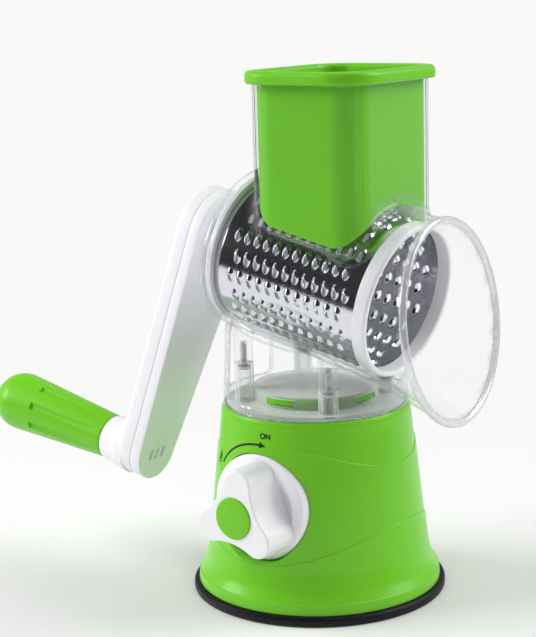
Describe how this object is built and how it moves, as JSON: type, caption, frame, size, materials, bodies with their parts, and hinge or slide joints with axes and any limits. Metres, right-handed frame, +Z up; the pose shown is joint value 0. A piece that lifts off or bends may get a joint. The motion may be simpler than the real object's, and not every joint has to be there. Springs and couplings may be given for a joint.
{
  "type": "rotary cabbage shredder",
  "caption": "Hand-cranked drum grater with a clear barrel and feed hopper, a hollow pusher and a suction base locked by a front knob.",
  "frame": {"origin": "centre of the rubber foot's flat underside", "axes": "+Z up, +X towards the barrel's mouth, -Y towards the suction knob, crank at -X"},
  "size_m": [0.2731, 0.131, 0.2544],
  "materials": {
    "rubber": "matte",
    "green_plastic": "gloss",
    "white_plastic": "gloss",
    "clear_plastic": "clear",
    "drum_steel": "polished",
    "screw_steel": "satin"
  },
  "bodies": {
    "base": {"suction_pad": "rubber", "base_shell": "green_plastic", "retainer_plate": "green_plastic", "retainer_screws": "screw_steel", "mount_plate": "clear_plastic", "housing_pedestal": "clear_plastic", "housing_barrel": "clear_plastic", "housing_hopper": "clear_plastic", "housing_screws": "screw_steel"},
    "knob": {"suction_knob": "white_plastic", "knob_cap": "green_plastic", "cam_shaft": "white_plastic", "knob_screw": "screw_steel"},
    "lifter": {"lifter": "white_plastic", "return_spring": "screw_steel"},
    "crank": {"crank_shell": "white_plastic", "crank_cover": "white_plastic", "drive_spindle": "white_plastic", "grip_axle": "screw_steel", "grip_washer": "screw_steel", "grip_screw": "screw_steel"},
    "grip": {"grip": "green_plastic", "grip_cap": "green_plastic"},
    "drum": {"drum_stave_1": "drum_steel", "drum_stave_2": "drum_steel", "drum_stave_3": "drum_steel", "drum_stave_4": "drum_steel", "drum_stave_5": "drum_steel", "drum_stave_6": "drum_steel", "drum_stave_7": "drum_steel", "drum_stave_8": "drum_steel", "drum_stave_9": "drum_steel", "drum_stave_10": "drum_steel", "drum_stave_11": "drum_steel", "drum_front_ring": "white_plastic", "drum_rear_cap": "white_plastic"},
    "pusher": {"pusher": "green_plastic"}
  },
  "joints": [
    {"name": "knob_turn", "type": "hinge", "parent": "base", "child": "knob", "pos_m": [0, -0.05, 0.0515], "axis": [0, 1, 0], "range_deg": [0, 90]},
    {"name": "lifter_lift", "type": "slide", "parent": "base", "child": "lifter", "axis": [0, 0, 1], "range_m": [0, 0.00354], "deforming": ["return_spring"]},
    {"name": "crank_turn", "type": "hinge", "parent": "base", "child": "crank", "pos_m": [0, 0, 0.1591], "axis": [0.9767, 0, -0.2147], "continuous": true},
    {"name": "grip_spin", "type": "hinge", "parent": "crank", "child": "grip", "pos_m": [-0.09262, -0.03111, 0.06383], "axis": [-0.9866, 0, 0.1633], "continuous": true},
    {"name": "drum_pull", "type": "slide", "parent": "crank", "child": "drum", "axis": [0.9767, 0, -0.2147], "range_m": [0, 0.15]},
    {"name": "pusher_lift", "type": "slide", "parent": "base", "child": "pusher", "axis": [0, 0, 1], "range_m": [0, 0.1]}
  ],
  "couplings": [
    {"joint": "lifter_lift", "follows": "knob_turn", "m_per_rad": 0.00225}
  ]
}
